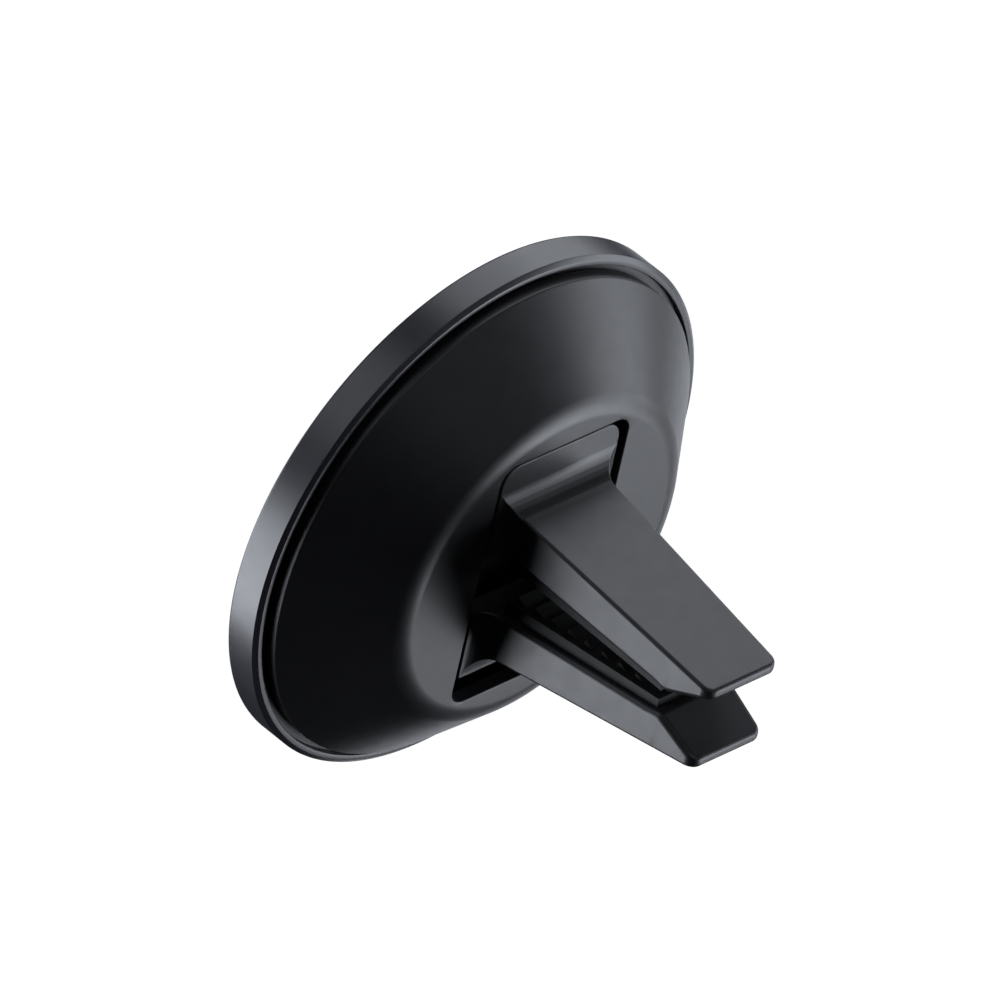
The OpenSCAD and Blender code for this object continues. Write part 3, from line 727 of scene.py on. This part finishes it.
def boss_mesh(s):
    """Screw bosses whose ends follow the inside of the shell's wall."""
    slant = (s.depth - s.side_top) / (s.side_radius - s.face_radius)

    def in_wall(r):
        return min(s.side_top + (s.side_radius - r) * slant, s.depth) - s.boss_seat

    bm = bmesh.new()
    for quarter_turn in range(4):
        turned = math.pi / 2 * quarter_turn
        centre = Vector((math.cos(turned), 0, math.sin(turned))) * s.boss_ring
        loops = [
            ring_loop(bm, centre, s.boss_hole, lambda r: s.boss_bore),
            ring_loop(bm, centre, s.boss_hole, lambda r: s.boss_start),
            ring_loop(bm, centre, s.boss_radius, lambda r: s.boss_start),
            ring_loop(bm, centre, s.boss_radius, in_wall),
        ]
        skin(bm, loops)
        for loop in (loops[0], loops[-1]):
            cap = bmesh.ops.contextual_create(bm, geom=loop)["faces"]
            bmesh.ops.triangulate(bm, faces=cap)
    return bm


class PHONEMOUNT_OT_back_shell(bpy.types.Operator):
    """Builds the domed shell with its flat back face and the slot for the clip."""

    bl_idname = "phonemount.back_shell"
    bl_label = "Back shell"

    def execute(self, context):
        s = context.scene.mount_shell
        looks = finishes()
        run = s.side_radius - s.face_radius
        rise = s.depth - s.side_top
        inner_h = s.depth - s.face_wall
        side_in = s.side_radius - s.wall
        turn_h = s.depth - (side_in - slope_point(s, s.wall, s.depth)) * rise / run
        # The flat ring starts just inside the rounding.
        flat_r = s.face_radius - s.face_round * math.tan(math.atan2(rise, run) / 2) - OVERLAP
        bm = bmesh.new()
        profile = [
            (s.depth, flat_r, 0),
            (s.depth, s.face_radius, s.face_round),
            (s.side_top, s.side_radius, s.side_round),
            (s.base, s.side_radius, s.base_round),
            (s.base, side_in, 0),
            (turn_h, side_in, 0),
            (inner_h, slope_point(s, s.wall, inner_h), s.inner_round),
            (inner_h, flat_r, 0),
        ]
        spin(bm, outline(bm, profile, closed=False, segments=10))
        outer_circle = [e for e in bm.edges if e.is_boundary and at_height(e, s.depth)]
        inner_circle = [e for e in bm.edges if e.is_boundary and at_height(e, inner_h)]
        loops = []
        for i in range(4):
            turned = math.pi / 2 * i / 3
            grow = s.slot_edge * (1 - math.sin(turned))
            drop = s.slot_edge * (1 - math.cos(turned))
            loops.append(slot_loop(bm, s, grow, s.depth - drop))
        loops.append(slot_loop(bm, s, 0.0, inner_h))
        skin(bm, loops)
        fill_between(bm, outer_circle + loops[0], Vector((0, 1, 0)))
        fill_between(bm, inner_circle + loops[-1], Vector((0, -1, 0)))
        bm = union(bm, boss_mesh(s))
        shell = finish_piece(
            "domed_back_shell",
            bm,
            "shell",
            looks["satin_abs_shell"],
            ["back_shell"],
        )
        even_shading(shell)
        return {"FINISHED"}


# ---------------------------------------------------------------- jaws


def jaw_half(j, l):
    """Half-width of a jaw's straight taper."""
    return (j.root_width + (j.tip_width - j.root_width) * l / j.length) / 2


def quarter(radius, distance):
    """How far a rounded corner falls back at a distance from its end."""
    inside = max(radius - max(distance, 0.0), 0.0)
    return radius - math.sqrt(max(radius * radius - inside * inside, 0.0))


def arc_stations(radius):
    """Distances from the end of a rounded corner at even steps round it."""
    return [radius * (1 - math.sin(math.pi / 2 * i / ARC_STEPS)) for i in range(ARC_STEPS + 1)]


def chain(corners):
    """Heights and ups along an open outline with rounded corners, from its first corner on."""
    bm = bmesh.new()
    outline(bm, corners, closed=False)
    ends = [v for v in bm.verts if len(v.link_edges) == 1]
    here = min(ends, key=lambda v: (v.co - place(corners[0][0], corners[0][1])).length)
    edge = here.link_edges[0]
    points = [(here.co.y - FACE_Y, here.co.z)]
    while edge is not None:
        here = edge.other_vert(here)
        points.append((here.co.y - FACE_Y, here.co.z))
        edge = next((e for e in here.link_edges if e != edge), None)
    bm.free()
    return points


def level(points, h):
    """Up at height h along a chain that climbs in height."""
    for (h0, u0), (h1, u1) in zip(points, points[1:]):
        if h0 <= h <= h1 and h1 > h0:
            return u0 + (u1 - u0) * (h - h0) / (h1 - h0)
    return points[0][1] if h < points[0][0] else points[-1][1]


def section(bm, h, half, low, high, radii):
    """Rectangle across an arm at height h with its inner and outer roundings; returns its edges."""
    before = set(bm.edges)
    # Two roundings together leave a flat strip between them.
    largest = 0.42 * (high - low)
    inner, outer = [min(radius, largest) for radius in radii]
    points = [place(h, u, x) for u, x in ((low, -half), (low, half), (high, half), (high, -half))]
    for vert, radius in zip(wire(bm, points), (inner, inner, outer, outer)):
        round_corner(bm, vert, radius, 6)
    return [e for e in bm.edges if e not in before]


def arm_mesh(j, depth):
    """Arm of a jaw as a skin over rounded sections, with its stub inside the flange."""
    root = depth - j.flange_recess
    tip = depth + j.length
    middle = (j.tip_out + j.mouth_half) / 2
    lip = tip - j.lip_back
    beyond_round = j.root_out + 1.5 * j.root_round
    top = chain([
        (root, beyond_round, 0),
        (root, j.root_out, j.root_round),
        (tip, j.tip_out, j.tip_edge),
        (tip, middle, 0),
    ])[1:]
    inner = chain([
        (root, j.root_in, 0),
        (depth + j.ramp, j.root_in, j.root_inner_round),
        (lip - j.ramp, j.lip_half + j.ramp_rise, j.ramp_round),
        (lip, j.lip_half, j.lip_round),
        (tip, j.mouth_half, j.tip_edge),
        (tip, middle, 0),
    ])
    stations = {h for h, _ in top + inner}
    stations |= {root + d for d in arc_stations(j.flare)}
    stations |= {tip - d for d in arc_stations(j.tip_corner)}
    heights = [root - j.root_stub, root]
    for h in sorted(stations):
        if h - heights[-1] > SLIVER and h < tip - NEAR:
            heights.append(h)
    heights.append(tip)
    spread = j.flange_half - j.flange_strip - jaw_half(j, 0)
    bm = bmesh.new()
    loops = []
    for h in heights:
        l = h - depth
        half = jaw_half(j, l) + spread * quarter(j.flare, h - root) / j.flare
        half -= quarter(j.tip_corner, tip - h)
        # The long edges are nearly sharp at the flange and fully round beyond the root.
        grown = min(max((h - root) / j.root_round, 0.06), 1.0)
        radii = (j.inner_round * grown, j.edge_round * grown)
        loops.append(section(bm, h, half, level(inner, h), level(top, h), radii))
    skin(bm, loops)
    for loop in (loops[0], loops[-1]):
        bmesh.ops.contextual_create(bm, geom=loop)
    return bm


def flange_mesh(j, depth, corners, top, corner):
    """Flange and what lies behind it, with rounded upper corners and soft front edges."""
    face = depth - j.flange_recess
    bm = bmesh.new()
    side_slab(bm, corners, j.flange_half)
    upper_corners = [
        e
        for e in bm.edges
        if all(abs(v.co.z - top) < NEAR for v in e.verts)
        and abs(e.verts[0].co.x - e.verts[1].co.x) < NEAR
    ]
    bevel_edges(bm, upper_corners, corner, ARC_STEPS)
    # The lowest edge stays sharp, because the arm's inner face carries on from it.
    soft = [
        e
        for e in bm.edges
        if at_height(e, face)
        and e.calc_face_angle(0) > math.radians(60)
        and max(v.co.z for v in e.verts) > j.root_in + OVERLAP
    ]
    bevel_edges(bm, soft, j.flange_edge, 3)
    return bm


def flip_up(bm):
    """Turns an upper piece into a lower one."""
    bmesh.ops.scale(bm, vec=(1, 1, -1), verts=bm.verts)


class PHONEMOUNT_OT_jaws(bpy.types.Operator):
    """Builds the fixed upper jaw and the hinged lower jaw of the clip."""

    bl_idname = "phonemount.jaws"
    bl_label = "Clip jaws"

    def execute(self, context):
        j = context.scene.mount_jaws
        depth = context.scene.mount_shell.depth
        look = finishes()["satin_abs_jaw"]
        face = depth - j.flange_recess
        flange_h = depth - j.flange_thickness
        cover_top = j.cover_base + j.cover
        wall_top = j.root_in + j.wall
        # The flange's underside stays clear of the arm's own inner face.
        under = j.root_in + SLIVER
        corners = [
            (face, j.upper_top, 0),
            (face, under, 0),
            (cover_top, under, j.throat_round),
            (cover_top, -j.cover_end, 0),
            (j.cover_base, -j.cover_end, 0),
            (j.cover_base, wall_top, j.wall_round),
            (flange_h, wall_top, j.wall_round),
            (flange_h, j.upper_top, 0),
        ]
        flange = flange_mesh(j, depth, corners, j.upper_top, j.upper_corner)
        bm = union(flange, arm_mesh(j, depth))
        upper = finish_piece("upper_clip_jaw", bm, "shell", look, ["upper_jaw"])
        even_shading(upper)

        corners = [
            (face, j.lower_top, 0),
            (face, under, 0),
            (flange_h, under, 0),
            (flange_h, j.lower_top, 0),
        ]
        flange = flange_mesh(j, depth, corners, j.lower_top, j.lower_corner)
        bm = union(flange, arm_mesh(j, depth))
        flip_up(bm)
        lower = finish_piece("lower_clip_jaw", bm, "lower_arm", look, ["lower_jaw"])
        even_shading(lower)
        hinge = finish_piece(
            "lower_jaw_hinge", self.hinge_mesh(j, flange_h), "lower_arm", look
        )
        even_shading(hinge)
        return {"FINISHED"}

    def hinge_mesh(self, j, flange_h):
        """Two cheeks with bored knuckles, and the stop bar behind the flange."""
        bm = bmesh.new()
        foot = flange_h + OVERLAP
        half_turn = [math.pi * i / KNUCKLE_STEPS for i in range(KNUCKLE_STEPS + 1)]
        for inner in (-j.cheek_inner - j.cheek, j.cheek_inner):
            start = Vector((inner, PIN_Y, PIN_Z))
            rim = [start + Vector((0, -math.sin(a), math.cos(a))) * j.knuckle for a in half_turn]
            rim += [place(foot, PIN_Z - j.knuckle, inner), place(foot, PIN_Z + j.knuckle, inner)]
            outer = wire(bm, rim)
            bore = bmesh.ops.create_circle(
                bm,
                segments=BORE_STEPS,
                radius=j.bore,
                matrix=Matrix.Translation(start) @ Matrix.Rotation(math.pi / 2, 4, "Y"),
            )["verts"]
            loops = {e for v in outer + bore for e in v.link_edges}
            filled = bmesh.ops.triangle_fill(
                bm, use_beauty=True, edges=list(loops), normal=Vector((1, 0, 0))
            )["geom"]
            thicken(bm, [g for g in filled if isinstance(g, bmesh.types.BMFace)], j.cheek)
        base, top = j.stop_base, j.stop_base + j.stop_height
        bar = [
            (base, -j.stop_start, 0),
            (top, -j.stop_start, 0),
            (top, -j.stop_end, 0),
            (base, -j.stop_end, j.stop_round),
        ]
        side_slab(bm, bar, j.stop_half)
        return bm


# ---------------------------------------------------------------- grip pads


def pad_mesh(p, j, depth):
    """Tapering slab and row of teeth of an upper pad, as two sets of solids."""

    def face_u(l):
        return p.rear_half + (p.front_half - p.rear_half) * (l - p.start) / p.length

    def narrow(verts, margin):
        for vert in verts:
            half = jaw_half(j, vert.co.y - FACE_Y - depth) - margin
            vert.co.x = math.copysign(half, vert.co.x)

    end = p.start + p.length
    slab = bmesh.new()
    verts = side_slab(
        slab,
        [
            (depth + p.start, j.root_in + p.seat, 0),
            (depth + p.start, face_u(p.start), 0),
            (depth + end, face_u(end), 0),
            (depth + end, j.lip_half + p.front_rise + p.seat, 0),
        ],
        j.root_width / 2,
    )
    narrow(verts, p.margin)
    teeth = bmesh.new()
    for i in range(p.tooth_count):
        l = p.start + p.tooth_first + i * p.tooth_pitch
        peak = l + p.tooth_rake
        foot = l + p.tooth_length
        verts = side_slab(
            teeth,
            [
                (depth + l, face_u(l) + p.tooth_seat, 0),
                (depth + l, face_u(l), 0),
                (depth + peak, face_u(peak) - p.tooth_height, 0),
                (depth + foot, face_u(foot), 0),
                (depth + foot, face_u(foot) + p.tooth_seat, 0),
            ],
            j.root_width / 2,
        )
        narrow(verts, p.margin + p.tooth_margin)
    return slab, teeth


class PHONEMOUNT_OT_grip_pads(bpy.types.Operator):
    """Builds the two ribbed rubber pads that grip the vent's blade."""

    bl_idname = "phonemount.grip_pads"
    bl_label = "Grip pads"

    def execute(self, context):
        p = context.scene.mount_pads
        j = context.scene.mount_jaws
        depth = context.scene.mount_shell.depth
        look = finishes()["nitrile_rubber"]
        for name, body, replaced, lower in (
            ("upper_grip_pad", "shell", "upper_jaw_pad", False),
            ("lower_grip_pad", "lower_arm", "lower_jaw_pad", True),
        ):
            bm = union(*pad_mesh(p, j, depth))
            if lower:
                flip_up(bm)
            pad = finish_piece(name, bm, body, look, [replaced])
            bevel = pad.modifiers.new("soft_edges", "BEVEL")
            bevel.limit_method = "ANGLE"
            bevel.angle_limit = math.radians(25)
            bevel.width = p.edge_round
            bevel.segments = 2
            even_shading(pad)
        return {"FINISHED"}


# ---------------------------------------------------------------- spring and inner pieces


def bent_wire(path, radius, thickness):
    """Round wire through points given from the hinge pin, with a factor on its radius at each."""
    curve = bpy.data.curves.new("wire_path", "CURVE")
    curve.dimensions = "3D"
    curve.bevel_depth = radius
    curve.bevel_resolution = 3
    curve.use_fill_caps = True
    line = curve.splines.new("POLY")
    line.points.add(len(path) - 1)
    for point, (x, y, z), factor in zip(line.points, path, thickness):
        point.co = (-x, PIN_Y + y, PIN_Z + z, 1)
        point.radius = factor
    holder = bpy.data.objects.new("wire_path", curve)
    bpy.context.scene.collection.objects.link(holder)
    shaped = holder.evaluated_get(bpy.context.evaluated_depsgraph_get())
    mesh = bpy.data.meshes.new_from_object(shaped)
    bm = bmesh.new()
    bm.from_mesh(mesh)
    bpy.data.meshes.remove(mesh)
    bpy.data.objects.remove(holder)
    bpy.data.curves.remove(curve)
    bmesh.ops.remove_doubles(bm, verts=bm.verts, dist=WELD)
    return bm


class PHONEMOUNT_OT_spring(bpy.types.Operator):
    """Builds the torsion spring's coil, and the leg that turns with the lower jaw."""

    bl_idname = "phonemount.spring"
    bl_label = "Jaw spring"

    def execute(self, context):
        s = context.scene.mount_spring
        look = finishes()["oil_tempered_wire"]
        span = s.pitch * (s.turns + 0.5)
        steps = int(s.turns * COIL_STEPS)
        coil = []
        for i in range(steps + 1):
            turned = math.tau * s.turns * i / steps
            along = span * (i / steps - 0.5)
            coil.append((along, s.coil * math.cos(turned), s.coil * math.sin(turned)))
        leg = [
            (-span / 2, s.jaw_side, -s.reach),
            (-span / 2, s.jaw_side, s.foot - s.reach),
            coil[0],
        ]
        # The leg's end lies inside the coil's wire and slides in it as the jaw opens.
        hidden = coil[1:3]
        coil.append((span / 2, -s.frame_side, s.foot - s.reach))
        coil.append((span / 2, -s.frame_side, -s.reach))
        bm = bent_wire(coil, s.wire, [1.0] * len(coil))
        finish_piece("torsion_spring", bm, "shell", look, ["jaw_spring"], sharp=50.0)
        bm = bent_wire(leg + hidden, s.wire, [1.0] * len(leg) + [s.slim] * len(hidden))
        finish_piece("spring_jaw_leg", bm, "lower_arm", look, sharp=50.0)
        return {"FINISHED"}


class PHONEMOUNT_OT_inner_pieces(bpy.types.Operator):
    """Gives the packed inner pieces their finishes."""

    bl_idname = "phonemount.inner_pieces"
    bl_label = "Inner pieces"

    def execute(self, context):
        looks = finishes()
        for name, look in INNER_FINISHES.items():
            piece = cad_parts[name]
            if not piece.material_slots:
                piece.data.materials.append(looks[look])
            for slot in piece.material_slots:
                slot.material = looks[look]
        return {"FINISHED"}


# ---------------------------------------------------------------- stage


# Soft round lights, each with its direction seen from the camera (right, up, towards the camera),
# its diameter in metres and its power in watts
LIGHTS = {
    # Long sheen on the rim's left side and on the jaws' left sides
    "left_light": ((-1.0, -0.2, -0.1), 0.5, 4.3),
    # Flat back face and its fillet
    "low_right_light": ((0.9, -0.5, -0.2), 0.4, 2.4),
    # Right side of the slope
    "right_back_light": ((0.9, 0.1, -0.3), 0.4, 1.4),
    # Upper sides of the jaws and top of the slope
    "top_light": ((0.2, 0.95, 0.0), 0.5, 1.4),
    # Top of the rim
    "high_back_light": ((0.4, 0.8, -0.5), 0.4, 0.8),
    # Thin bright edges on the right and at the bottom
    "back_light": ((0.3, -0.1, -1.0), 0.5, 0.7),
    # Outer edge of the rim on the left
    "back_left_light": ((-0.8, 0.3, -0.5), 0.4, 0.5),
    # Upper left side of the rim
    "high_left_light": ((-0.6, 0.6, 0.5), 0.4, 0.5),
    # Faint fill from the camera's side
    "front_light": ((0.4, 0.2, 0.9), 0.4, 0.4),
}


class PHONEMOUNT_OT_stage(bpy.types.Operator):
    """Sets up the pale floor, the soft studio light and the camera."""

    bl_idname = "phonemount.stage"
    bl_label = "Stage"

    def execute(self, context):
        s = context.scene.mount_stage
        scene = context.scene
        scene.view_settings.view_transform = "Standard"
        turn = Matrix.Rotation(math.pi / 2 + s.camera_turn, 3, "Z")
        tilt = Matrix.Rotation(math.pi / 2 - s.camera_height, 3, "X")
        axes = turn @ tilt @ Matrix.Rotation(s.camera_roll, 3, "Z")
        right, up, back = axes.transposed()
        aim = Vector((0, FACE_Y, 0)) + right * s.aim_right - up * s.aim_down

        camera = bpy.data.cameras.new("camera")
        camera.lens = camera.sensor_width * s.camera_distance / s.view_width
        camera.clip_end = 20.0
        holder = bpy.data.objects.new("camera", camera)
        scene.collection.objects.link(holder)
        holder.matrix_world = Matrix.Translation(aim + back * s.camera_distance) @ axes.to_4x4()
        scene.camera = holder

        for name, (direction, diameter, power) in LIGHTS.items():
            towards = (axes @ Vector(direction)).normalized()
            lamp = bpy.data.lights.new(name, "AREA")
            lamp.shape = "DISK"
            lamp.size = diameter
            lamp.energy = power * s.light_scale
            lamp.color = s.light_tint
            stand = bpy.data.objects.new(name, lamp)
            scene.collection.objects.link(stand)
            stand.location = towards * s.light_distance
            stand.rotation_euler = towards.to_track_quat("Z", "Y").to_euler()
            stand.visible_camera = False

        # Pale matt floor, lit evenly from within like a light table, so that it stays white.
        material, tree, shader, _ = new_material("pale_floor")
        shader.inputs["Base Color"].default_value = (*linear("f4f4f4"), 1)
        shader.inputs["Roughness"].default_value = 0.9
        shader.inputs["Emission Color"].default_value = (1, 1, 1, 1)
        shader.inputs["Emission Strength"].default_value = 1.0
        bm = bmesh.new()
        bmesh.ops.create_circle(bm, cap_ends=True, segments=64, radius=s.floor_radius)
        mesh = bpy.data.meshes.new("floor")
        bm.to_mesh(mesh)
        bm.free()
        mesh.materials.append(material)
        ground = bpy.data.objects.new("floor", mesh)
        scene.collection.objects.link(ground)
        ground.location.z = CAD_BOX[0].z - s.floor_drop
        ground.visible_diffuse = False
        ground.visible_glossy = False

        # White round the floor for the camera, and no light on the mount.
        world = bpy.data.worlds.new("studio")
        world.use_nodes = True
        scene.world = world
        tree = world.node_tree
        sky = tree.nodes["Background"]
        seen = node(tree, "ShaderNodeLightPath").outputs["Is Camera Ray"]
        tree.links.new(seen, sky.inputs["Strength"])
        sky.inputs["Color"].default_value = (1, 1, 1, 1)
        return {"FINISHED"}


# ---------------------------------------------------------------- panel and registering


OPERATORS = (
    PHONEMOUNT_OT_puck,
    PHONEMOUNT_OT_back_shell,
    PHONEMOUNT_OT_jaws,
    PHONEMOUNT_OT_grip_pads,
    PHONEMOUNT_OT_spring,
    PHONEMOUNT_OT_inner_pieces,
    PHONEMOUNT_OT_stage,
)


class VIEW3D_PT_phone_mount(bpy.types.Panel):
    """Lists the steps that build the phone mount, and its sizes."""

    bl_label = "Phone mount"
    bl_idname = "VIEW3D_PT_phone_mount"
    bl_space_type = "VIEW_3D"
    bl_region_type = "UI"
    bl_category = "Phone mount"

    def draw(self, context):
        for operator in OPERATORS:
            self.layout.operator(operator.bl_idname)
        for name, group in GROUPS.items():
            box = self.layout.box()
            box.label(text=group.__doc__)
            for key in group.__annotations__:
                box.prop(getattr(context.scene, name), key)


def register():
    for cls in (*GROUPS.values(), *OPERATORS, VIEW3D_PT_phone_mount):
        bpy.utils.register_class(cls)
    for name, group in GROUPS.items():
        setattr(bpy.types.Scene, name, bpy.props.PointerProperty(type=group))


def unregister():
    for name in GROUPS:
        delattr(bpy.types.Scene, name)
    for cls in reversed((*GROUPS.values(), *OPERATORS, VIEW3D_PT_phone_mount)):
        bpy.utils.unregister_class(cls)


def main():
    register()
    bpy.ops.phonemount.puck()
    bpy.ops.phonemount.back_shell()
    bpy.ops.phonemount.jaws()
    bpy.ops.phonemount.grip_pads()
    bpy.ops.phonemount.spring()
    bpy.ops.phonemount.inner_pieces()
    bpy.ops.phonemount.stage()


if __name__ == "__main__":
    main()
